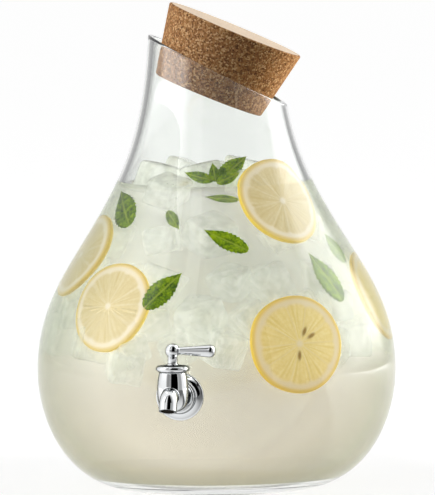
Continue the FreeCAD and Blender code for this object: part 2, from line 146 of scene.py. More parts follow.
def withPoles(grid):
    # The grid as a list of rows, with the mean of its first row and of its last row added as two poles
    flat = grid.reshape(-1, grid.shape[-1])
    return np.vstack([flat, grid[0].mean(axis=0), grid[-1].mean(axis=0)])


def skinFaces(rows, columns):
    # A quad for each cell, the last column closing on the first, and a fan from each end row to its pole
    index = np.arange(rows * columns).reshape(rows, columns)
    ahead = np.roll(index, -1, axis=1)
    quads = sideBySide(index[:-1], ahead[:-1], ahead[1:], index[1:]).reshape(-1, 4)
    start = sideBySide(ahead[0], index[0], index.size)
    end = sideBySide(index[-1], ahead[-1], index.size + 1)
    return quads, np.vstack([start, end])


def enclosedVolume(points, quads, fans):
    # Sum over triangles of corner . (corner x corner) / 6, which is negative for a skin turned inside out
    triangles = np.vstack([quads[:, :3], quads[:, [0, 2, 3]], fans])
    a, b, c = (points[triangles[:, i]] for i in range(3))
    return np.einsum("ij,ij->i", a, np.cross(b, c)).sum() / 6


def addPiece(name, grids, materials, marks=None, sharpAngle=None, body="vessel"):
    # Each grid (rows x columns x 3, in mm) becomes a closed skin with its faces outwards, all in one mesh
    points, faces, start = [], [], 0
    for grid in grids:
        corners = withPoles(grid)
        quads, fans = skinFaces(*grid.shape[:2])
        if enclosedVolume(corners, quads, fans) < 0:
            quads, fans = quads[:, ::-1], fans[:, ::-1]
        points.append(corners)
        faces += (quads + start).tolist() + (fans + start).tolist()
        start += len(corners)
    mesh = bpy.data.meshes.new(name)
    mesh.from_pydata((np.vstack(points) * mm).tolist(), [], faces)
    for mark, values in (marks or {}).items():
        layer = mesh.attributes.new(mark, "FLOAT_COLOR", "POINT")
        layer.data.foreach_set("color", np.vstack([withPoles(value) for value in values]).ravel())
    for material in materials:
        mesh.materials.append(material)
    mesh.shade_smooth()
    if sharpAngle:
        mesh.set_sharp_from_angle(angle=math.radians(sharpAngle))
    piece = newObject(name, mesh)
    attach(piece, body)
    return piece


view = {
    "azimuth": 11.5,  # degrees round from the tap, to its right
    "elevation": 4.5,
    "distance": 8000,  # mm, the long lens of a catalogue picture
    "frameHeight": 386,  # mm seen from the top of the picture to its foot
    "aimHeight": 186.4,
    "aimRight": 1.7,
    "roll": -0.6,  # the photographed vessel leans a little to the left
}
viewTurn = math.radians(view["azimuth"])


def bearingWay(bearing):
    # Level way at a bearing from the camera's side of the object
    turn = viewTurn + math.radians(bearing)
    return np.array([math.sin(turn), -math.cos(turn), 0.0])


nearWay, rightWay = bearingWay(0.0), bearingWay(90.0)


vessel = {
    "stations": [  # radius and height of the outer wall, the last above the mouth
        (78, 0), (107.5, 14.2), (131, 47), (140, 97), (127.2, 150), (105.6, 188), (66.2, 263), (50, 364.02),
    ],
    "footRise": 10,  # degrees above level at the foot
    "neckLean": 3,  # degrees inwards at the top
    "wall": 4.5,
    "base": 8,
    "floorRound": 8,
    "puntRadius": 62,
    "puntRise": 2.5,
    "ringRadii": (67, 73),  # rows of the flat ring that it stands on
    "mouthHeight": 327.5,  # where the slanted mouth crosses the axis
    "mouthSlope": 27.4,
    "mouthTurn": 101.5,  # bearing of the mouth's low side
    "rimRound": 1.7,
    "holeRadius": 8.2,
    "holeHeight": 83,
    "barReach": (-150, -122),  # ends of the bar that cuts the hole
    "wetFrom": 4.5,  # mm above the cavity's floor; below this the foot shows as clear glass
    "wetTo": 236.6,  # level of the drink on the inner wall
    "meniscus": 1.6,
    "sharpAngle": 35,
    "columns": 240,
    "rows": (9, 130, 46, 72, 8),  # of the hollow foot, outer wall, dry and wet inner wall, each rounding of the rim
}


def stationSlopes(stations, steps, startWay, endWay):
    # Slopes of the cubic through the stations that keep its curvature running on through each of them
    count = len(stations)
    system, right = np.eye(count), np.zeros((count, 2))
    right[0], right[-1] = startWay, endWay
    for i in range(1, count - 1):
        before, after = steps[i - 1], steps[i]
        system[i, i - 1:i + 2] = after, 2 * (before + after), before
        right[i] = 3 * (after / before * (stations[i] - stations[i - 1])
                        + before / after * (stations[i + 1] - stations[i]))
    return np.linalg.solve(system, right)


stations = np.array(vessel["stations"])
stationSteps = np.hypot(*np.diff(stations, axis=0).T)
stationKnots = np.hstack([[0.0], np.cumsum(stationSteps)])
footRise, neckLean = math.radians(vessel["footRise"]), math.radians(vessel["neckLean"])
profileSlopes = stationSlopes(stations, stationSteps, (math.cos(footRise), math.sin(footRise)),
                              (-math.sin(neckLean), math.cos(neckLean)))


def wallLine(along, inset):
    # Outer profile at a length along it, by the cubic between two stations, moved inwards along its normal
    shape = np.shape(along)
    along = np.ravel(along)
    i = np.clip(np.searchsorted(stationKnots, along) - 1, 0, len(stations) - 2)
    step = stationSteps[i][:, None]
    t = ((along - stationKnots[i]) / stationSteps[i])[:, None]
    p, q, a, b = stations[i], stations[i + 1], profileSlopes[i] * step, profileSlopes[i + 1] * step
    point = ((2 * t**3 - 3 * t**2 + 1) * p + (t**3 - 2 * t**2 + t) * a
             + (3 * t**2 - 2 * t**3) * q + (t**3 - t**2) * b)
    way = (6 * t**2 - 6 * t) * (p - q) + (3 * t**2 - 4 * t + 1) * a + (3 * t**2 - 2 * t) * b
    way /= np.hypot(way[:, 0], way[:, 1])[:, None]
    normal = sideBySide(-way[:, 1], way[:, 0])
    return (point + normal * np.ravel(np.broadcast_to(inset, shape))[:, None]).reshape(*shape, 2)


def toSpace(line, bearing):
    # Radius and height turned round the axis: x = r sin(bearing), y = -r cos(bearing), z = height
    return sideBySide(line[..., 0] * np.sin(bearing), -line[..., 0] * np.cos(bearing), line[..., 1])


alongTable = np.linspace(0.0, stationKnots[-1], 3000)


def alongAtHeight(height, inset):
    # Length along the profile at which the wall moved in by the inset reaches a height
    return np.interp(height, wallLine(alongTable, inset)[:, 1], alongTable)


def floorLine(inset, roundness, count):
    # Cavity's floor moved in by the inset: level from near the axis, then an arc that runs into the wall
    level = vessel["base"] + inset
    centreInset = vessel["wall"] + inset + roundness
    start = alongAtHeight(level + roundness, centreInset)
    centre = wallLine(np.array([start]), centreInset)[0]
    end = wallLine(np.array([start]), vessel["wall"] + inset)[0]
    swing = math.atan2(end[0] - centre[0], centre[1] - end[1])
    angles = np.linspace(0.0, swing, count)
    arc = centre + roundness * sideBySide(np.sin(angles), -np.cos(angles))
    flat = sideBySide(np.linspace(0.08, 0.92, count) * centre[0], level)
    return np.vstack([flat, arc]), start


def mouthCut(inset, bearing):
    # Length along the profile at which each bearing meets the slanted plane of the mouth
    line = wallLine(alongTable, inset)
    fall = math.tan(math.radians(vessel["mouthSlope"]))
    towardsLow = np.cos(bearing - math.radians(vessel["mouthTurn"]))
    above = line[:, 1:] + fall * line[:, :1] * towardsLow - vessel["mouthHeight"]
    i = np.argmax(above > 0, axis=0)
    pick = np.arange(len(bearing))
    low, high = above[i - 1, pick], above[i, pick]
    return alongTable[i - 1] + (alongTable[i] - alongTable[i - 1]) * -low / (high - low)


def glassGrid():
    # Profile of the whole wall turned round the axis: hollow foot, standing ring, outer wall up to the slanted
    # mouth of that bearing, rounded rim, inner wall down, floor; each bearing has its own length of wall
    columns = vessel["columns"]
    puntRows, outerRows, dryRows, wetRows, roundRows = vessel["rows"]
    bearing = roundAngles(columns)
    puntRadii = np.linspace(0.1, 1.0, puntRows) * vessel["puntRadius"]
    punt = sideBySide(puntRadii, vessel["puntRise"] * (1 - (puntRadii / vessel["puntRadius"]) ** 2))
    ring = sideBySide(vessel["ringRadii"], 0.0)
    floor, floorStart = floorLine(0.0, vessel["floorRound"], puntRows)
    edge = vessel["rimRound"]
    outerCut, innerCut = mouthCut(0.0, bearing), mouthCut(vessel["wall"], bearing)
    outerAlong = np.linspace(0.0, 1.0, outerRows)[:, None] * (outerCut - edge)
    wetAlong = alongAtHeight(vessel["wetTo"] + vessel["meniscus"], vessel["wall"])
    dryPart = innerCut - edge + np.linspace(0.0, 1.0, dryRows)[:-1, None] * (wetAlong - innerCut + edge)
    wetPart = np.linspace(wetAlong, floorStart, wetRows)[:, None] + 0 * innerCut
    outer, inner = wallLine(outerAlong, 0.0), wallLine(np.vstack([dryPart, wetPart]), vessel["wall"])
    outerTip, innerTip = wallLine(outerCut, 0.0), wallLine(innerCut, vessel["wall"])
    across = innerTip - outerTip
    across /= np.hypot(across[:, 0], across[:, 1])[:, None]
    t = np.linspace(0.0, 1.0, roundRows)[1:, None, None]
    outerRound = (1 - t) ** 2 * outer[-1] + 2 * t * (1 - t) * outerTip + t ** 2 * (outerTip + across * edge)
    innerRound = (1 - t) ** 2 * (innerTip - across * edge) + 2 * t * (1 - t) * innerTip + t ** 2 * inner[0]
    flatEdge = (innerTip - across * edge)[None]
    still = [np.repeat(line[:, None], columns, axis=1) for line in (np.vstack([punt, ring]), floor[::-1])]
    return toSpace(np.vstack([still[0], outer, outerRound, flatEdge, innerRound, inner[1:], still[1][1:]]), bearing)


def drillTapHole(piece):
    # Hole through the front wall, cut by a round bar along the tap's axis
    turn = roundAngles(64)
    reach = np.array(vessel["barReach"])[:, None]
    bar = sideBySide(vessel["holeRadius"] * np.cos(turn), reach,
                     vessel["holeHeight"] + vessel["holeRadius"] * np.sin(turn))
    cutter = addPiece("hole_bar", [bar], [])
    drill = piece.modifiers.new("tap hole", "BOOLEAN")
    drill.object = cutter
    drill.operation = "DIFFERENCE"
    drill.solver = "EXACT"
    drilled = bpy.data.meshes.new_from_object(piece.evaluated_get(bpy.context.evaluated_depsgraph_get()))
    piece.modifiers.clear()
    piece.data = drilled
    bpy.data.objects.remove(cutter)
    drilled.set_sharp_from_angle(angle=math.radians(vessel["sharpAngle"]))


def markWetWall(piece):
    # Inner wall from just above the floor to the drink's level takes the second material; its faces look to the
    # axis or up, and not to the hole
    faces = piece.data.polygons
    centres, normals = rowsOf(faces, "center") / mm, rowsOf(faces, "normal")
    heights = centres[:, 2]
    outwards = (normals[:, :2] * centres[:, :2]).sum(axis=1) / np.hypot(centres[:, 0], centres[:, 1])
    inHole = np.hypot(centres[:, 0], heights - vessel["holeHeight"]) < vessel["holeRadius"] + 0.1
    looksIn, looksUp = outwards < -0.15, normals[:, 2] > 0.8
    wet = (heights > vessel["base"] + vessel["wetFrom"]) & (heights < vessel["wetTo"] + vessel["meniscus"])
    wet &= (looksIn | looksUp) & ~inHole
    faces.foreach_set("material_index", wet.astype(np.int32))


# Clear blown soda-lime glass: colourless, with sharp reflections and grey lines along its edges
clearGlass, add = newMaterial("blown soda-lime glass")
pane = add("BsdfPrincipled", {"Base Color": linear("#f8faf8"), "Roughness": 0.0, "IOR": 1.5,
                              "Transmission Weight": 1.0})
through = add("BsdfTransparent", {"Color": linear("#ffffff")})
lampsGoThrough = add("MixShader", {0: anyRay(add, "Shadow", "Diffuse"), 1: pane, 2: through})
add("OutputMaterial", {"Surface": lampsGoThrough})

# Glass wetted by the drink: the two bend light alike, so their meeting face is not seen, and the glass is
# greener where it is looked through at a slant
wetGlass, add = newMaterial("soda-lime glass wetted by drink")
slant = add("LayerWeight", {"Blend": 0.5})
thickest = add("MapRange", {0: anyRay(add, "Shadow", "Diffuse"), 3: 0.27, 4: 90.0})
green = add("MapRange", {0: slant.outputs["Facing"], 1: 0.11, 2: thickest})
tint = add("Mix", {0: green, 6: linear("#ffffff"), 7: linear("#b9bfb0")}, data_type="RGBA")
through = add("BsdfTransparent", {"Color": tint})
add("OutputMaterial", {"Surface": through})

glassPiece = addPiece("blown_glass_vessel", [glassGrid()], [clearGlass, wetGlass],
                      sharpAngle=vessel["sharpAngle"])
drillTapHole(glassPiece)
markWetWall(glassPiece)
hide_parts("glass_vessel")
print("glass vessel", len(glassPiece.data.polygons), "faces")


drink = {
    "layers": [  # inset from the glass, drop of the top, cloudiness
        (1.8, 0, 0.1), (5.5, 1.5, 0.12), (10.5, 3, 0.16), (16.5, 5, 0.2), (23.5, 8, 0.26), (31, 11, 0.5),
    ],
    "brimSteps": (1, 2, 3.5, 5.5, 8),  # mm from the glass of the rows that climb to it
    "climb": 2.5,  # mm from the glass over which the climb fades
    "leastRound": 4,  # rounding of the innermost floors
    "columns": 120,
    "rows": (8, 70, 12),  # of the floor and its rounding, the wall, and the level part of the top
    "swirl": (60, 14),  # size of the swirls, and how far they carry the colours up and down
    "colourHeights": (8, 236),  # of the first and the last colour
}


def drinkGrid(inset, drop):
    # Cavity moved in by the inset and filled to its level: floor, wall, then the top, which climbs by
    # meniscus x exp(-distance from the glass / climb)
    floorRows, wallRows, topRows = drink["rows"]
    floor, start = floorLine(inset, max(vessel["floorRound"] - inset, drink["leastRound"]), floorRows)
    top = vessel["wetTo"] - drop
    end = alongAtHeight(top + vessel["meniscus"], vessel["wall"] + inset)
    wall = wallLine(np.linspace(start, end, wallRows)[1:], vessel["wall"] + inset)
    brim = wall[-1, 0]
    radii = np.hstack([brim - np.array(drink["brimSteps"]), np.linspace(0.8, 0.05, topRows) * brim])
    surface = sideBySide(radii, top + vessel["meniscus"] * np.exp((radii - brim) / drink["climb"]))
    line = np.vstack([floor, wall, surface])
    return toSpace(np.repeat(line[:, None], drink["columns"], axis=1), roundAngles(drink["columns"]))


def drinkMaterial(name, cloudiness):
    # Cloudy lemonade: grey-green under the ice, warm and beige where juice settles, with slow swirls; a share of
    # the light goes straight on, and the rest is scattered to both sides
    material, add = newMaterial(name)
    size, carry = (length * mm for length in drink["swirl"])
    low, high = (height * mm for height in drink["colourHeights"])
    place = add("TexCoord").outputs["Object"]
    height = add("SeparateXYZ", {0: place})
    swirl = add("TexNoise", {"Vector": place, "Scale": 1 / size, "Detail": 2.0})
    shift = add("MapRange", {0: swirl, 1: 0.3, 2: 0.7, 3: -carry, 4: carry})
    swirled = add("Math", {0: height.outputs[2], 1: shift}, operation="ADD")
    share = add("MapRange", {0: swirled, 1: low, 2: high})
    colour = add("ValToRGB", {0: share}, stops=((0.0, "#e1dacb"), (1.0, "#d6d7d3"), (0.14, "#e2dbcb"),
                                                (0.34, "#dad5c8"), (0.55, "#d3d4cb"), (0.8, "#d3d4ce")))
    back = add("BsdfDiffuse", {"Color": colour})
    onward = add("BsdfTranslucent", {"Color": colour})
    cloud = add("MixShader", {0: 0.5, 1: back, 2: onward})
    clear = add("BsdfTransparent", {"Color": linear("#ffffff")})
    body = add("MixShader", {0: cloudiness, 1: clear, 2: cloud})
    add("OutputMaterial", {"Surface": body})
    return material


# Still surface of a drink: a thin mirror that is strong only at a slant
surfaceLook, add = newMaterial("lemonade surface")
slant = add("Fresnel", {"IOR": 1.33})
clear = add("BsdfTransparent", {"Color": linear("#f7f8f4")})
mirror = add("BsdfGlossy", {"Color": linear("#ffffff"), "Roughness": 0.05})
surface = add("MixShader", {0: slant, 1: clear, 2: mirror})
add("OutputMaterial", {"Surface": surface})
for i, (inset, drop, cloudiness) in enumerate(drink["layers"], 1):
    veil = drinkMaterial(f"cloudy lemonade veil {i}", cloudiness)
    looks = [veil, surfaceLook] if i == 1 else [veil]
    layer = addPiece(f"lemonade_veil_{i}", [drinkGrid(inset, drop)], looks)
    onTop = rowsOf(layer.data.polygons, "center")[:, 2] > (vessel["wetTo"] - 0.2) * mm
    layer.data.polygons.foreach_set("material_index", onTop.astype(np.int32))
    layer.visible_shadow = layer.visible_diffuse = False  # light goes on to the ice and fruit behind it
print("drink", len(drink["layers"]), "veils")


ice = {
    "seed": 11,
    "size": (25, 31),
    "power": 8,  # 2 is a ball, higher is closer to a cube
    "squash": (0.82, 1),  # height as a share of the width
    "waves": (0.05, 2.3),  # share of the size by which slow waves swell it, and how fast they run
    "tilt": 0.5,  # radians out of level
    "rings": [(122, 18, 21), (150, 16, 20), (178, 14, 20), (206, 11, 19)],  # height, cubes, depth
    "stray": (0.22, 6, -1, 9),  # of a cube in a ring: share of its step round, height, least and most depth
    "floating": [  # right of the axis, nearer than the axis, height
        (-43, 6, 238), (-9, 24, 241), (-26, -30, 240), (24, -24, 241), (6, -52, 238),
        (48, -8, 237), (26, 34, 234), (-34, 46, 232), (-66, 94, 104),
    ],
    "rows": 17,
    "columns": 32,
}


def iceGrid(centre, size, turns, wobble):
    # Melted cube: |x|^n + |y|^n + |z|^n = 1 by powers of sines and cosines, swollen by slow waves, then turned
    # round y, x and z
    up = np.linspace(-0.49, 0.49, ice["rows"])[:, None] * math.pi
    around = roundAngles(ice["columns"])
    waves = (np.cos(up), np.sin(up), np.cos(around), np.sin(around))
    level, rise, east, north = (np.sign(wave) * np.abs(wave) ** (2 / ice["power"]) for wave in waves)
    grid = sideBySide(level * east, level * north, rise)
    swell, speed = ice["waves"]
    grid = grid * (1 + swell * np.sin(speed * grid[..., [1, 2, 0]] + wobble)) * size / 2
    for turn, (i, j) in zip(turns[::-1], ((2, 0), (1, 2), (0, 1))):
        grid[..., i], grid[..., j] = rotated(grid[..., i], grid[..., j], turn)
    return centre + grid


chance = np.random.default_rng(ice["seed"])
iceCentres = []
strayRound, strayUp, leastDepth, mostDepth = ice["stray"]
for height, count, inset in ice["rings"]:
    steps = np.arange(count) + chance.uniform(-strayRound, strayRound, count) + chance.uniform()
    heights = height + chance.uniform(-strayUp, strayUp, count)
    depths = vessel["wall"] + inset + chance.uniform(leastDepth, mostDepth, count)
    line = wallLine(alongAtHeight(heights, vessel["wall"]), depths)
    iceCentres.append(toSpace(line, steps * 2 * math.pi / count))
iceCentres = np.vstack(iceCentres + [rightWay * right + nearWay * near + (0, 0, height)
                                     for right, near, height in ice["floating"]])
tilt = ice["tilt"]
iceGrids = [iceGrid(centre, chance.uniform(*ice["size"]) * np.array([1.0, 1.0, chance.uniform(*ice["squash"])]),
                    chance.uniform((0, -tilt, -tilt), (anyTurn, tilt, tilt)), chance.uniform(0, anyTurn, 3))
            for centre in iceCentres]

# Ice from a tray: wet glossy skin over a clear block with a white, bubbly heart
iceLook, add = newMaterial("tray ice")
place = add("TexCoord").outputs["Object"]
bubbles = add("TexNoise", {"Vector": place, "Scale": 1 / (9 * mm), "Detail": 3.0})
frost = add("ValToRGB", {0: bubbles}, stops=((0.35, "#d6d9cf"), (0.65, "#f0f2eb")))
frostBump = add("Bump", {"Strength": 0.15, "Distance": 0.6 * mm, "Height": bubbles})
back = add("BsdfDiffuse", {"Color": frost, "Normal": frostBump})
onward = add("BsdfTranslucent", {"Color": frost, "Normal": frostBump})
heart = add("MixShader", {0: 0.45, 1: back, 2: onward})
clear = add("BsdfTransparent", {"Color": linear("#fafbf9")})
whiteness = add("MapRange", {0: bubbles, 1: 0.35, 2: 0.65, 3: 0.34, 4: 0.5})
block = add("MixShader", {0: whiteness, 1: clear, 2: heart})
slant = add("Fresnel", {"IOR": 1.31, "Normal": frostBump})
gloss = add("BsdfGlossy", {"Color": linear("#ffffff"), "Roughness": 0.1, "Normal": frostBump})
iceBody = add("MixShader", {0: slant, 1: block, 2: gloss})
add("OutputMaterial", {"Surface": iceBody})
cubes = addPiece("ice_cubes", iceGrids, [iceLook])
cubes.visible_shadow = False  # clear ice lets the light through
print("ice", len(iceGrids), "cubes")


lemon = {
    "seed": 5,
    "thickness": 8,
    "gap": 0.5,  # mm between a slice's face and the glass
    "rind": 0.085,  # shares of the radius
    "pith": 0.1,
    "core": 3,  # mm of pith at the middle
    "segments": 10,
    "segmentStray": 0.16,  # share of a segment
    "segmentWall": 0.6,  # mm
    "outlineWaves": (0.012, 0.006),  # shares of the radius, twice and five times round
    "streaks": (11, 17, 23, 31, 38, 46, 53),  # waves round the pulp
    "seedSize": (0.1, 0.04),  # half its length and width, shares of the radius
    "faceRows": 44,
    "rimSink": (0.05, 0.12, 0.22, 0.36, 0.6),  # mm that the rows next to the rim fall back
    "columns": 220,
    "ripe": (3, 4, 6),  # places in the list of the yellower slices, counted from 0
    "slices": [  # bearing and height of the middle, radius, turn, lean of the left and of the lower edge off the
        # glass, seeds (distance from the middle as a share of the radius, angle)
        (-66, 181.8, 36, 20, 0, 0, ()),
        (-30.8, 148.7, 36.5, 75, 0, 2, ()),
        (53, 226, 35.5, 10, 0, 0, ()),
        (40.2, 120.6, 39.6, 35, 0, 0, ((0.27, 60), (0.31, 27), (0.24, -97))),
        (94.6, 148.8, 37, 50, 0, 0, ()),
        (148, 168, 36.5, 15, 0, 3, ((0.3, 45),)),
        (193, 110, 38, 62, 0, 0, ()),
        (240, 196, 35, 31, 6, 0, ((0.3, 125), (0.28, 280))),
    ],
}


def ontoWall(u, v, depth, bearing, height):
    # Flat place (u to the right, v up, depth inwards) laid on the inner wall round a bearing and a height
    middle = alongAtHeight(height, vessel["wall"])
    line = wallLine(middle + v, vessel["wall"] + depth)
    arm = wallLine(middle + v, vessel["wall"])[..., 0]
    return toSpace(line, math.radians(bearing) + u / arm)


def sliceGrid(spec, chance):
    # Round slice on polar lines: out over its face, round its rim and back under, laid on the wall; the marks
    # are rind, pith with segment walls, pulp streaks (a sum of cosines of the angle) and seeds
    bearing, height, radius, turn, leanLeft, leanLow, seeds = spec
    thickness, count, stray = lemon["thickness"], lemon["segments"], lemon["segmentStray"]
    rimSink = lemon["rimSink"]
    share = np.hstack([np.linspace(0.03, 0.94, lemon["faceRows"]), np.linspace(0.955, 0.992, len(rimSink))])
    share = np.hstack([share, 1.0, 1.0, 1.0, share[::-1]])[:, None]
    sink = np.hstack([np.zeros(lemon["faceRows"]), rimSink, 0.22 * thickness])
    sink = np.hstack([sink, thickness / 2, thickness - sink[::-1]])[:, None]
    angle = roundAngles(lemon["columns"])[None]
    twice, fiveTimes = lemon["outlineWaves"]
    outline = radius * (1 + twice * np.cos(2 * angle + chance.uniform(0, anyTurn)) + fiveTimes * np.cos(5 * angle))
    u, v = share * outline * np.cos(angle), share * outline * np.sin(angle)
    walls = (np.arange(count) + chance.uniform(-stray, stray, count)) * 2 * math.pi / count + math.radians(turn)
    wallGap = np.abs(wrapped(angle[..., None] - walls)).min(axis=-1) * share * radius
    fleshEdge = 1 - lemon["rind"] - lemon["pith"] - 0.05 * np.exp(-wallGap / 2.2)
    rind = (0.65 + 0.35 * np.clip(sink, 0, 1)) / (1 + np.exp(-(share - 1 + lemon["rind"]) / 0.012)) + 0 * angle
    pith = np.maximum(1 / (1 + np.exp(-(share - fleshEdge) / 0.014)),
                      0.3 * np.exp(-(wallGap / lemon["segmentWall"]) ** 2))
    pith = np.maximum(pith, np.exp(-(share * radius / lemon["core"]) ** 4))
    streaks = sum(chance.uniform(0.5, 1.0)
                  * np.cos(k * angle + chance.uniform(0, anyTurn) + share * chance.uniform(-9, 9))
                  for k in lemon["streaks"]) / 4
    stone = np.zeros_like(streaks)
    seedLong, seedWide = lemon["seedSize"]
    for far, at in seeds:
        along = share * np.cos(angle - math.radians(at)) - far
        aside = share * np.sin(angle - math.radians(at))
        stone = np.maximum(stone, np.exp(-((along / seedLong) ** 2 + (aside / seedWide) ** 2) ** 2))
    pulp = (1 - pith) * (1 - rind)
    faceOnly = (np.arange(len(share)) < len(share) // 2)[:, None]
    relief = (0.25 * pulp * (1 - 0.5 * streaks) - 0.9 * stone) * faceOnly
    lean = (leanLeft * (radius - u) + leanLow * (radius - v)) / (2 * radius)
    depth = lemon["gap"] + sink + relief + lean
    marks = sideBySide(rind, pith, 0.5 + 0.5 * streaks, stone)
    return ontoWall(u, v, np.maximum(depth, lemon["gap"] * 0.8), bearing, height), marks


chance = np.random.default_rng(lemon["seed"])
sliceParts = [sliceGrid(spec, chance) for spec in lemon["slices"]]


def lemonMaterial(name, deep, middle, pale, pithColour, rindColour):
    # Cut lemon: waxy yellow rind, dull pale pith and segment walls, wet pulp with radial streaks, tan seeds
    material, add = newMaterial(name)
    marks = add("VertexColor", layer_name="fruit")
    parts = add("SeparateColor", {0: marks.outputs["Color"]})
    place = add("TexCoord").outputs["Object"]
    cells = add("TexNoise", {"Vector": place, "Scale": 1 / (2.5 * mm), "Detail": 2.0})
    tone = add("Math", {0: parts.outputs[2], 1: cells, 2: 0.1}, operation="MULTIPLY_ADD")
    pulp = add("ValToRGB", {0: tone}, stops=((0.05, deep), (0.8, pale), (0.4, middle)))
    over = ((parts.outputs[1], pithColour), (parts.outputs[0], rindColour), (marks.outputs["Alpha"], "#957a3c"))
    for share, colour in over:
        pulp = add("Mix", {0: share, 6: pulp, 7: linear(colour)}, data_type="RGBA")
    wetBump = add("Bump", {"Strength": 0.3, "Distance": 0.5 * mm, "Height": cells})
    fruit = add("BsdfPrincipled", {"Base Color": pulp, "Roughness": 0.34, "Specular IOR Level": 0.25,
                                   "Normal": wetBump})
    onward = add("BsdfTranslucent", {"Color": pulp, "Normal": wetBump})
    juicy = add("MixShader", {0: 0.4, 1: fruit, 2: onward})
    add("OutputMaterial", {"Surface": juicy})
    return material


lemonLooks = [lemonMaterial("cut lemon", "#d2c494", "#dcd1aa", "#e5ddc4", "#ede8dc", "#dcc23a"),
              lemonMaterial("cut ripe lemon", "#dccb84", "#e7d99e", "#ede3b4", "#e4dbc4", "#e0c436")]
for i, (grid, mark) in enumerate(sliceParts):
    cut = addPiece(f"lemon_slice_{i + 1}", [grid], [lemonLooks[i in lemon["ripe"]]], {"fruit": [mark]})
    cut.visible_shadow = False  # wet pulp lets the light through
print("lemon", len(sliceParts), "slices")


mint = {
    "thickness": 0.5,
    "teeth": (11, 0.17),  # number along each side, and depth as a share of the half-width
    "veins": (8, 1.3),  # side veins along the leaf, and how far they run on to the tip
    "puff": 0.9,  # mm
    "backOff": 1.2,  # mm more behind the glass, so that the puffs stay clear of it
    "rows": 111,
    "columns": 40,
    "leaves": [  # bearing, height, length, width, turn from upright, depth behind the glass
        (-46.8, 220, 42, 24, 50, 0.3),
        (-9, 162, 40, 22, -40, 0.3),
        (16.6, 198.8, 38, 16, 61, 0.3),
        (-11.9, 215, 20, 10, -138, 6),
        (61.5, 168.6, 46, 25, 18, 4),
        (79, 188, 28, 20, 14, 6),
        (16, 232, 28, 7, 84, 9),
        (120, 200, 38, 22, 28, 0.3),
        (170, 215, 36, 20, -60, 0.3),
        (215, 160, 40, 24, 100, 0.3),
        (262, 150, 38, 22, -25, 0.3),
    ],
    "sprig": [  # right of the axis, nearer than the axis and height of the stalk end, length, width, turn, arch
        (2.5, 36, 241, 29, 15.5, -50, 4),
        (1.5, 42, 239.5, 20, 9.5, -67, 3),
        (1, 38, 240, 15, 9, 10, 4),
        (-1, 37, 241, 23, 9.5, 74, 6),
        (4, 6, 239, 18, 11, -110, 5),
    ],
}


def leafShape(length, width):
    # Leaf on (t along, c round its section): half-width is a rounded lens with saw teeth that point to the tip,
    # the section runs over the upper face and back under, and the face puffs between side veins; marks are veins,
    # the puffs and the place along the leaf
    t = np.linspace(0.0, 1.0, mint["rows"])[:, None]
    c = roundAngles(mint["columns"])[None]
    (toothCount, toothDepth), (veinCount, runOn) = mint["teeth"], mint["veins"]
    teeth = 1 - toothDepth * ((t * toothCount) % 1.0)
    half = width / 2 * np.sin(math.pi * np.clip(t, 0.004, 0.996) ** 0.8) ** (0.55 + 0.6 * t) * teeth
    side = np.cos(c)
    x = half * side
    veins = np.abs(((t * veinCount - runOn * np.abs(side)) % 1.0) - 0.5) * 2
    puff = (1 - veins ** 4) * np.abs(side) ** 0.7 * (1 - side ** 4)
    face = np.where(np.sin(c) >= 0, 1.0, -1.0) * mint["thickness"] / 2 * np.sqrt(np.abs(np.sin(c)))
    rise = face + mint["puff"] * puff - 0.5 * np.exp(-(x / 0.9) ** 2)
    vein = np.maximum(np.exp(-(x / 0.55) ** 2), 0.5 * np.clip(veins * 6 - 5, 0, 1))
    marks = sideBySide(vein, puff, t, 1.0)
    return x, (t - 0.5) * length + 0 * c, rise, marks


def wallLeaf(bearing, height, length, width, turn, depth):
    # Leaf turned from upright and laid on the inner wall, its upper face to the glass
    x, y, rise, marks = leafShape(length, width)
    return ontoWall(*rotated(x, y, math.radians(turn)), depth + mint["backOff"] - rise, bearing, height), marks


def freeLeaf(right, near, height, length, width, turn, arch):
    # Leaf that rises from its stalk end and arches over to the camera's side: lift = arch x sin(pi t)
    x, y, rise, marks = leafShape(length, width)
    y = y + length / 2
    u, v = rotated(x, y, math.radians(turn))
    aside, forward = right + u, near + rise + arch * np.sin(math.pi * (y / length))
    return aside[..., None] * rightWay + forward[..., None] * nearWay + (height + v)[..., None] * (0, 0, 1), marks


leafParts = [wallLeaf(*spec) for spec in mint["leaves"]] + [freeLeaf(*spec) for spec in mint["sprig"]]

# Fresh mint leaf: deep green with a crinkled, mottled upper face whose creases are painted darker as shade, and
# puffs painted lighter as highlight between sunken paler veins
mintLook, add = newMaterial("fresh mint leaf")
marks = add("VertexColor", layer_name="leaf")
parts = add("SeparateColor", {0: marks.outputs["Color"]})
place = add("TexCoord").outputs["Object"]
crinkle = add("TexVoronoi", {"Vector": place, "Scale": 1 / (1.7 * mm)})
mottle = add("TexNoise", {"Vector": place, "Scale": 1 / (7 * mm), "Detail": 3.0})
# Painted shade: the crinkle's cell edges, which the bump sinks into creases, come out darker; the mottle is the
# leaf's own tone
creaseShadeAndMottle = add("Math", {0: crinkle.outputs["Distance"], 1: -0.45, 2: mottle}, operation="MULTIPLY_ADD")
# Painted highlight: the puffs come out a lighter green
tone = add("Math", {0: parts.outputs[1], 1: 0.25, 2: creaseShadeAndMottle}, operation="MULTIPLY_ADD")
green = add("ValToRGB", {0: tone}, stops=((0.08, "#2f4f02"), (0.62, "#a2bd10"), (0.34, "#6c9004")))
veined = add("Mix", {0: parts.outputs[0], 6: green, 7: linear("#a3b83a")}, data_type="RGBA")
leafBump = add("Bump", {"Strength": 0.6, "Distance": 0.5 * mm, "Height": creaseShadeAndMottle})
leaf = add("BsdfPrincipled", {"Base Color": veined, "Roughness": 0.5, "Specular IOR Level": 0.15,
                              "Normal": leafBump})
add("OutputMaterial", {"Surface": leaf})
leafGrids, leafMarks = zip(*leafParts)
addPiece("mint_leaves", leafGrids, [mintLook], {"leaf": leafMarks})
print("mint", len(leafParts), "leaves")


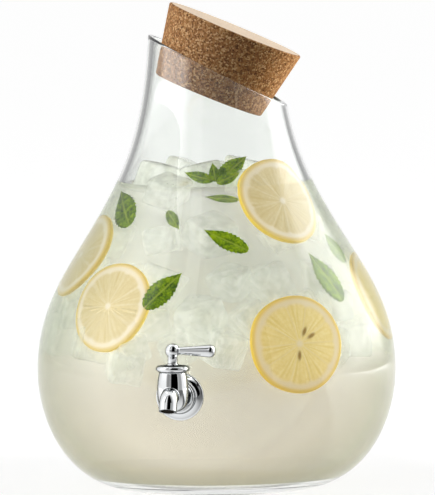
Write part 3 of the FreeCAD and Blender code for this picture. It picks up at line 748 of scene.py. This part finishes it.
cork = {
    "seed": 3,
    "chamfer": 1.2,
    "pits": 1500,
    "pitRadius": (0.5, 1.5),
    "pitDepth": (0.08, 0.34),
    "granule": 1.25,
    "edgeUp": (0, 0.3, 0.7),  # rows of the rounded edges, as shares of the chamfer: up from the end
    "edgeIn": (1, 0.45, 0.12),  # and in from the side
    "endRows": 26,
    "sideRows": 84,
    "columns": 300,
    "batch": 100,  # pits pressed in at a time
    "sharpAngle": 50,
}


def corkPlace():
    # Axis from the stopper's joint, ends from the CAD node: the middle and the radius of its lower and upper rim
    axis = np.array(next(joint["axis"] for joint in frame["joints"] if joint["child"] == "stopper"))
    axis /= np.linalg.norm(axis)
    sideWay = np.cross(axis, (0, 1, 0))
    sideWay /= np.linalg.norm(sideWay)
    frontWay = np.cross(axis, sideWay)
    points = rowsOf(frame["nodes"]["cork_stopper"].data.vertices, "co") / mm
    up, u, v = points @ axis, points @ sideWay, points @ frontWay
    centre = np.array([u.max() + u.min(), v.max() + v.min()]) / 2
    reach = np.hypot(u - centre[0], v - centre[1])
    foot = reach[up < up.min() + 2 * cork["chamfer"]].max()
    return axis, sideWay, frontWay, centre, up.min(), up.max(), foot, reach.max()


def corkGrid():
    # Cone with rounded edges on (row, angle); round pits of random place and size are pressed into it; the mark
    # is 1 on the ends, which take a pale sanded colour that is also a painted sheen of the back light
    axis, sideWay, frontWay, centre, low, high, lowRadius, highRadius = corkPlace()
    chamfer, endRows, pits, batch = cork["chamfer"], cork["endRows"], cork["pits"], cork["batch"]
    heights = np.linspace(low + chamfer, high - chamfer, cork["sideRows"])
    edgeUp, edgeIn = np.array(cork["edgeUp"]) * chamfer, chamfer * np.array(cork["edgeIn"])
    flat = np.linspace(0.06, 0.98, endRows)
    height = np.hstack([np.full(endRows, low), low + edgeUp, heights, high - edgeUp[::-1], np.full(endRows, high)])
    side = np.interp(heights, (low, high), (lowRadius, highRadius))
    radius = np.hstack([flat * (lowRadius - chamfer), side[0] - edgeIn, side, side[-1] - edgeIn[::-1],
                        flat[::-1] * (highRadius - chamfer)])
    angle = roundAngles(cork["columns"])
    local = sideBySide(radius[:, None] * np.cos(angle), radius[:, None] * np.sin(angle), height[:, None])
    chance = np.random.default_rng(cork["seed"])
    pitTurn, pitUp = chance.uniform(0, 2 * math.pi, pits), chance.uniform(low, high, pits)
    pitArm = np.interp(pitUp, (low, high), (lowRadius, highRadius))
    pitWide, pitDeep = chance.uniform(*cork["pitRadius"], pits), chance.uniform(*cork["pitDepth"], pits)
    turns, ups = np.broadcast_arrays(angle[None], heights[:, None])
    press = np.zeros_like(turns)
    for start in range(0, pits, batch):
        some = slice(start, start + batch)
        aside = wrapped(turns[..., None] - pitTurn[some]) * pitArm[some]
        far = (aside ** 2 + (ups[..., None] - pitUp[some]) ** 2) / pitWide[some] ** 2
        press = np.maximum(press, (pitDeep[some] * np.exp(-far ** 2)).max(axis=-1))
    inwards = np.zeros(local.shape[:2])
    firstSide = endRows + len(edgeUp)
    inwards[firstSide:firstSide + len(heights)] = press
    shrink = (1 - inwards / np.maximum(radius, 1.0)[:, None])[..., None]
    local = np.concatenate([local[..., :2] * shrink, local[..., 2:]], axis=-1)
    # 1 on both ends: there the colour is painted pale, sanding and painted sheen together
    sandedSheen = np.zeros((len(height), len(angle), 4))
    sandedSheen[:endRows] = sandedSheen[-endRows:] = 1.0
    flatPlace = (local[..., :1] + centre[0]) * sideWay + (local[..., 1:2] + centre[1]) * frontWay
    return flatPlace + local[..., 2:] * axis, sandedSheen


# Pressed cork: granules of several browns glued into a block, dark bark specks, open pores, dry and matt; its ends
# painted pale, partly from sanding and partly as a painted sheen of the back light
corkLook, add = newMaterial("pressed agglomerate cork")
place = add("TexCoord").outputs["Object"]
granules = add("TexVoronoi", {"Vector": place, "Scale": 1 / (cork["granule"] * mm)})
tone = add("SeparateColor", {0: granules.outputs["Color"]})
browns = add("ValToRGB", {0: tone}, stops=((0.0, "#664020"), (1.0, "#cea875"), (0.3, "#8a5d32"), (0.7, "#a67646")))
fine = add("TexNoise", {"Vector": place, "Scale": 1 / (1.6 * mm), "Detail": 3.0})
bark = add("ValToRGB", {0: fine}, stops=((0.3, "#4e3322"), (0.42, "#ffffff")))
specked = add("Mix", {0: 0.75, 6: browns, 7: bark}, data_type="RGBA", blend_type="MULTIPLY")
seams = add("MapRange", {0: granules.outputs["Distance"], 1: 0.2, 2: 0.75, 3: 1.0, 4: 0.0})
poreBump = add("Bump", {"Strength": 0.5, "Distance": 0.5 * mm, "Height": seams})
fineBump = add("Bump", {"Strength": 0.5, "Distance": 0.35 * mm, "Height": fine, "Normal": poreBump})
ends = add("VertexColor", layer_name="sandedSheen")
endShare = add("SeparateColor", {0: ends.outputs["Color"]})
# Ends painted pale: sanded cork, and a painted sheen of grazing back light on the top
sandedPaleAndSheen = add("Mix", {0: 0.68, 6: specked, 7: linear("#f3e3cc")}, data_type="RGBA")
whole = add("Mix", {0: endShare, 6: specked, 7: sandedPaleAndSheen}, data_type="RGBA")
corkBody = add("BsdfPrincipled", {"Base Color": whole, "Roughness": 0.85, "Specular IOR Level": 0.25,
                                  "Normal": fineBump})
add("OutputMaterial", {"Surface": corkBody})
corkPlaces, corkEnds = corkGrid()
corkPiece = addPiece("pressed_cork_stopper", [corkPlaces], [corkLook], {"sandedSheen": [corkEnds]}, cork["sharpAngle"],
                     body="stopper")
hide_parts("cork_stopper")
print("cork", len(corkPiece.data.polygons), "faces")


tap = {
    "polished": ["escutcheon", "tap_casting", "bonnet_cap", "handle_hub", "lever_arm"],
    "sharpAngle": 28,
    "weld": 0.002,  # mm within which corners are joined
    "boreMiddle": (0, -187.2, 79.4),  # on the spout's axis, 4 mm up from its mouth
    "boreReach": 6.7,  # mm round it, wider than the bore and narrower than the spout
}


def smoothCopy(name):
    # CAD node's triangles joined at their corners and shaded smooth, with creases kept sharp
    mesh = frame["nodes"][name].data.copy()
    mesh.name = "plated_" + name
    skin = bmesh.new()
    skin.from_mesh(mesh)
    bmesh.ops.remove_doubles(skin, verts=skin.verts, dist=tap["weld"] * mm)
    skin.to_mesh(mesh)
    skin.free()
    mesh.materials.clear()
    mesh.shade_smooth()
    mesh.set_sharp_from_angle(angle=math.radians(tap["sharpAngle"]))
    piece = newObject("plated_" + name, mesh)
    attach(piece, frame["nodes"][name]["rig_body"])
    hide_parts(name)
    return piece


# Chrome plate on brass: a mirror, with the faint haze of handling; inside the spout the bore is painted near-black
# as shade
chromeLook, add = newMaterial("polished chrome plate")
place = add("TexCoord").outputs["Object"]
smudge = add("TexNoise", {"Vector": place, "Scale": 1 / (7 * mm), "Detail": 4.0})
haze = add("MapRange", {0: smudge, 1: 0.35, 2: 0.75, 3: 0.02, 4: 0.07})
boreGap = add("VectorMath", {0: place, 1: [c * mm for c in tap["boreMiddle"]]}, operation="DISTANCE")
# Painted shade: the colour inside the spout's bore is near-black
boreShade = add("Math", {0: boreGap, 1: tap["boreReach"] * mm}, operation="LESS_THAN")
metal = add("Mix", {0: boreShade, 6: linear("#eef0f1"), 7: linear("#24211d")}, data_type="RGBA")
plate = add("BsdfPrincipled", {"Base Color": metal, "Metallic": 1.0, "Roughness": haze,
                               "Specular Tint": linear("#4c4e52")})
add("OutputMaterial", {"Surface": plate})
for name in tap["polished"]:
    smoothCopy(name).data.materials.append(chromeLook)

# Moulded nylon: off-white and satin; cast silicone: cloudy and soft; steel screw: grey with turning lines
plainLooks = {  # name, darker and paler colour, metallic, roughness, grain in mm
    "nylon": ("moulded nylon", "#d8d8d2", "#e3e3de", 0.0, 0.42, 1.2),
    "silicone": ("cast silicone rubber", "#c2c3be", "#d0d1cc", 0.0, 0.6, 2.5),
    "steel": ("turned steel", "#8f9093", "#b0b1b4", 1.0, 0.35, 0.4),
}
for slot, (name, dark, pale, metallic, roughness, grain) in plainLooks.items():
    material, add = newMaterial(name)
    place = add("TexCoord").outputs["Object"]
    grains = add("TexNoise", {"Vector": place, "Scale": 1 / (grain * mm), "Detail": 3.0})
    colour = add("ValToRGB", {0: grains}, stops=((0.3, dark), (0.7, pale)))
    bump = add("Bump", {"Strength": 0.15, "Distance": 0.1 * mm, "Height": grains})
    body = add("BsdfPrincipled", {"Base Color": colour, "Metallic": metallic, "Roughness": roughness,
                                  "Normal": bump})
    add("OutputMaterial", {"Surface": body})
    for part in frame["record"]["subparts"]:
        if part["material_slot"] == slot:
            mesh = frame["nodes"][part["node"]].data
            mesh.materials.clear()
            mesh.materials.append(material)
print("tap", len(tap["polished"]), "plated pieces")


studio = {
    "floorSize": 30000,
    "floorGlow": (200, 2200, 0.67, 0.95),  # between these distances the paper's own light grows this much
    "worldLight": 0.1,
    "aimHeight": 180,  # of the point that the softboxes face
    "softboxes": [  # bearing from the camera, height of the middle, distance, width, height, radiance
        (-84, 700, 1500, 1700, 1300, 4.4),
        (112, 190, 1500, 1200, 340, 34),
        (180, 700, 1700, 2400, 1700, 0.4),
        (32, 600, 1800, 1100, 1150, 3.2),
    ],
    "topLight": (1700, 1800, 1.3),  # height, width, radiance
    "cards": [  # bearing from the camera, distance, width, foot, height, tones within and at its edge, shares of
        # its width and of its foot that fade, the rays that meet it
        (12, 1300, 1500, 0, 6000, 0, 0.3, 0.3, 0, "glossy"),
        (16, 900, 1000, 600, 5400, 0, 0.3, 0.3, 0, "glossy"),
        (-32, 1600, 1100, 0, 700, 0.3, 1, 0.6, 0, "glossy"),
        (-42, 1340, 560, 700, 5000, 0.15, 1, 0.4, 0.1, "glossy"),
        (50, 1350, 1000, 0, 6000, 0.4, 1, 0.6, 0, "glossy"),
        (-72, 1600, 1800, 0, 2600, 1.3, 1, 0.4, 0.35, "glossy"),
        (114, 1600, 1700, 0, 2600, 5, 1, 0.6, 0.15, "glossy"),
        (-61, 150, 170, 322, 64, 6, 1, 0.6, 0, "glossy"),
        (142, 1650, 1400, 0, 3000, 0.3, 1, 0.3, 0, "transmission"),
        (-142, 1650, 1400, 0, 3000, 0.3, 1, 0.3, 0, "transmission"),
    ],
    "nets": [  # bearing from the camera, distance, width, foot, height, share of the light that they let through
        (30, 150, 230, 285, 200, 0.3),
        (-84, 205, 560, 0, 312, 0.5),
        (112, 205, 560, 0, 286, 0.68),
    ],
    "floorCard": (-50, 68, 150, 2800, 0.15, 0.5, 0.05),  # bearings and distances it spans, tone, fading
    "clothHeight": 2,
}


def stagePlane(name, corners, material, *rays):
    # Flat sheet of the stage; where rays are named, no others meet it
    mesh = bpy.data.meshes.new(name)
    mesh.from_pydata((np.array(corners) * mm).tolist(), [], [(0, 1, 2, 3)])
    mesh.uv_layers.new(name="sheet").data.foreach_set("uv", (0.0, 0.0, 1.0, 0.0, 1.0, 1.0, 0.0, 1.0))
    mesh.materials.append(material)
    plane = newObject(name, mesh)
    for ray in ("camera", "diffuse", "glossy", "transmission", "shadow", "volume_scatter") if rays else ():
        setattr(plane, "visible_" + ray, ray in rays)


def cardMaterial(name, tone, edgeTone, fade, footFade):
    # Card of one tone within and another at its sides and foot: edge + (tone - edge) x smooth steps of u and v
    material, add = newMaterial(name)
    spot = add("SeparateXYZ", {0: add("TexCoord").outputs["UV"]})
    aside = add("Math", {0: spot.outputs[0], 1: 0.5}, operation="SUBTRACT")
    apart = add("Math", {0: aside}, operation="ABSOLUTE")
    across = add("MapRange", {0: apart, 1: 0.5 - fade / 2, 2: 0.501, 3: 1.0, 4: 0.0},
                 interpolation_type="SMOOTHSTEP")
    foot = add("MapRange", {0: spot.outputs[1], 1: -0.001, 2: footFade}, interpolation_type="SMOOTHSTEP")
    within = add("Math", {0: across, 1: foot}, operation="MULTIPLY")
    level = add("MapRange", {0: within, 3: edgeTone, 4: tone})
    shine = add("Emission", {"Color": linear("#ffffff"), "Strength": level})
    add("OutputMaterial", {"Surface": shine})
    return material


def standing(bearing, distance, wide, foot, high):
    # Corners of an upright sheet that faces the object
    middle, across = bearingWay(bearing) * distance + (0, 0, foot), bearingWay(bearing + 90) * wide / 2
    up = np.array([0, 0, high])
    return [middle - across, middle + across, middle + across + up, middle - across + up]


def aimed(thing, place, back, roll=0.0):
    # Object at a place, its local z pointing back along a way and its local x level, then rolled
    back = np.array(back) / np.linalg.norm(back)
    level = np.cross((0, 1, 0) if abs(back[2]) > 0.999 else (0, 0, 1), back)
    level /= np.linalg.norm(level)
    up = np.cross(back, level)
    turned = math.cos(roll) * level + math.sin(roll) * up
    matrix = np.eye(4)
    matrix[:3, 0], matrix[:3, 1], matrix[:3, 2] = turned, np.cross(back, turned), back
    matrix[:3, 3] = np.array(place) * mm
    thing.matrix_world = Matrix(matrix.tolist())


def addSoftbox(name, place, back, width, height, radiance):
    # Area lamp whose face has the given radiance: power = radiance x pi x area
    lamp = bpy.data.lights.new(name, "AREA")
    lamp.shape = "RECTANGLE"
    lamp.size, lamp.size_y = width * mm, height * mm
    lamp.energy = radiance * math.pi * width * height * mm * mm
    box = newObject(name, lamp)
    aimed(box, place, back)
    box.visible_camera = box.visible_glossy = box.visible_transmission = False  # chrome and glass show the cards


# White seamless paper: bright to the eye and through glass, and it takes the object's shadow
paper, add = newMaterial("white seamless paper")
seen = anyRay(add, "Camera", "Glossy", "Transmission")
place = add("TexCoord").outputs["Object"]
away = add("VectorMath", {0: place}, operation="LENGTH")
near, far, leastGlow, mostGlow = studio["floorGlow"]
lit = add("MapRange", {0: away, 1: near * mm, 2: far * mm, 3: leastGlow, 4: mostGlow})
glow = add("Math", {0: seen, 1: lit}, operation="MULTIPLY")
sheet = add("BsdfPrincipled", {"Base Color": linear("#a0a0a0"), "Roughness": 0.9, "Specular IOR Level": 0.0,
                               "Emission Color": linear("#ffffff"), "Emission Strength": glow})
add("OutputMaterial", {"Surface": sheet})
half = studio["floorSize"] / 2
stagePlane("paper_floor", [(-half, -half, 0), (half, -half, 0), (half, half, 0), (-half, half, 0)], paper)

# Cards round the set: dark ones draw dark lines on chrome and along glass, white ones their highlights
for i, (*place, tone, edgeTone, fade, footFade, rays) in enumerate(studio["cards"], 1):
    look = cardMaterial(f"card {i}", tone, edgeTone, fade, footFade)
    stagePlane(f"card_{i}", standing(*place), look, rays)

# Black nets: one keeps the fill light off the stopper's front, two thin the side lights below the stopper
for i, (*place, share) in enumerate(studio["nets"], 1):
    netting, add = newMaterial(f"black net {i}")
    weave = add("BsdfTransparent", {"Color": (share, share, share, 1.0)})
    add("OutputMaterial", {"Surface": weave})
    stagePlane(f"net_{i}", standing(*place), netting, "shadow", "diffuse")
start, end, near, far, tone, fade, footFade = studio["floorCard"]
clothCorners = [bearingWay(bearing) * distance + (0, 0, studio["clothHeight"])
                for bearing, distance in ((start, near), (end, near), (end, far), (start, far))]
look = cardMaterial("dark floor cloth", tone, 1.0, fade, footFade)
stagePlane("dark_floor_cloth", clothCorners, look, "glossy")

for i, (bearing, height, distance, wide, high, radiance) in enumerate(studio["softboxes"], 1):
    place = bearingWay(bearing) * distance + (0, 0, height)
    addSoftbox(f"softbox_{i}", place, place - (0, 0, studio["aimHeight"]), wide, high, radiance)
topHeight, topWidth, topRadiance = studio["topLight"]
addSoftbox("softbox_top", (0, 0, topHeight), (0, 0, 1), topWidth, topWidth, topRadiance)

world, add = emptied(bpy.data.worlds.new("white studio"))
seen = anyRay(add, "Camera", "Glossy", "Transmission")
level = add("MapRange", {0: seen, 3: studio["worldLight"], 4: 1.0})
sky = add("Background", {"Color": linear("#ffffff"), "Strength": level})
add("OutputWorld", {"Surface": sky})
scene.world = world

lens = bpy.data.cameras.new("catalogue camera")
lens.sensor_fit = "VERTICAL"
lens.sensor_height = 36.0
lens.lens = lens.sensor_height * view["distance"] / view["frameHeight"]
lens.clip_end = 100.0
camera = newObject("catalogue camera", lens)
rise = math.radians(view["elevation"])
backWay = nearWay * math.cos(rise) + np.array([0, 0, math.sin(rise)])
aim = rightWay * view["aimRight"] + np.array([0, 0, view["aimHeight"]])
aimed(camera, aim + backWay * view["distance"], backWay, math.radians(view["roll"]))
scene.camera = camera
scene.view_settings.view_transform = "Standard"
scene.cycles.transparent_max_bounces = 32  # the drink's veils are looked through front and back
print("studio ready")
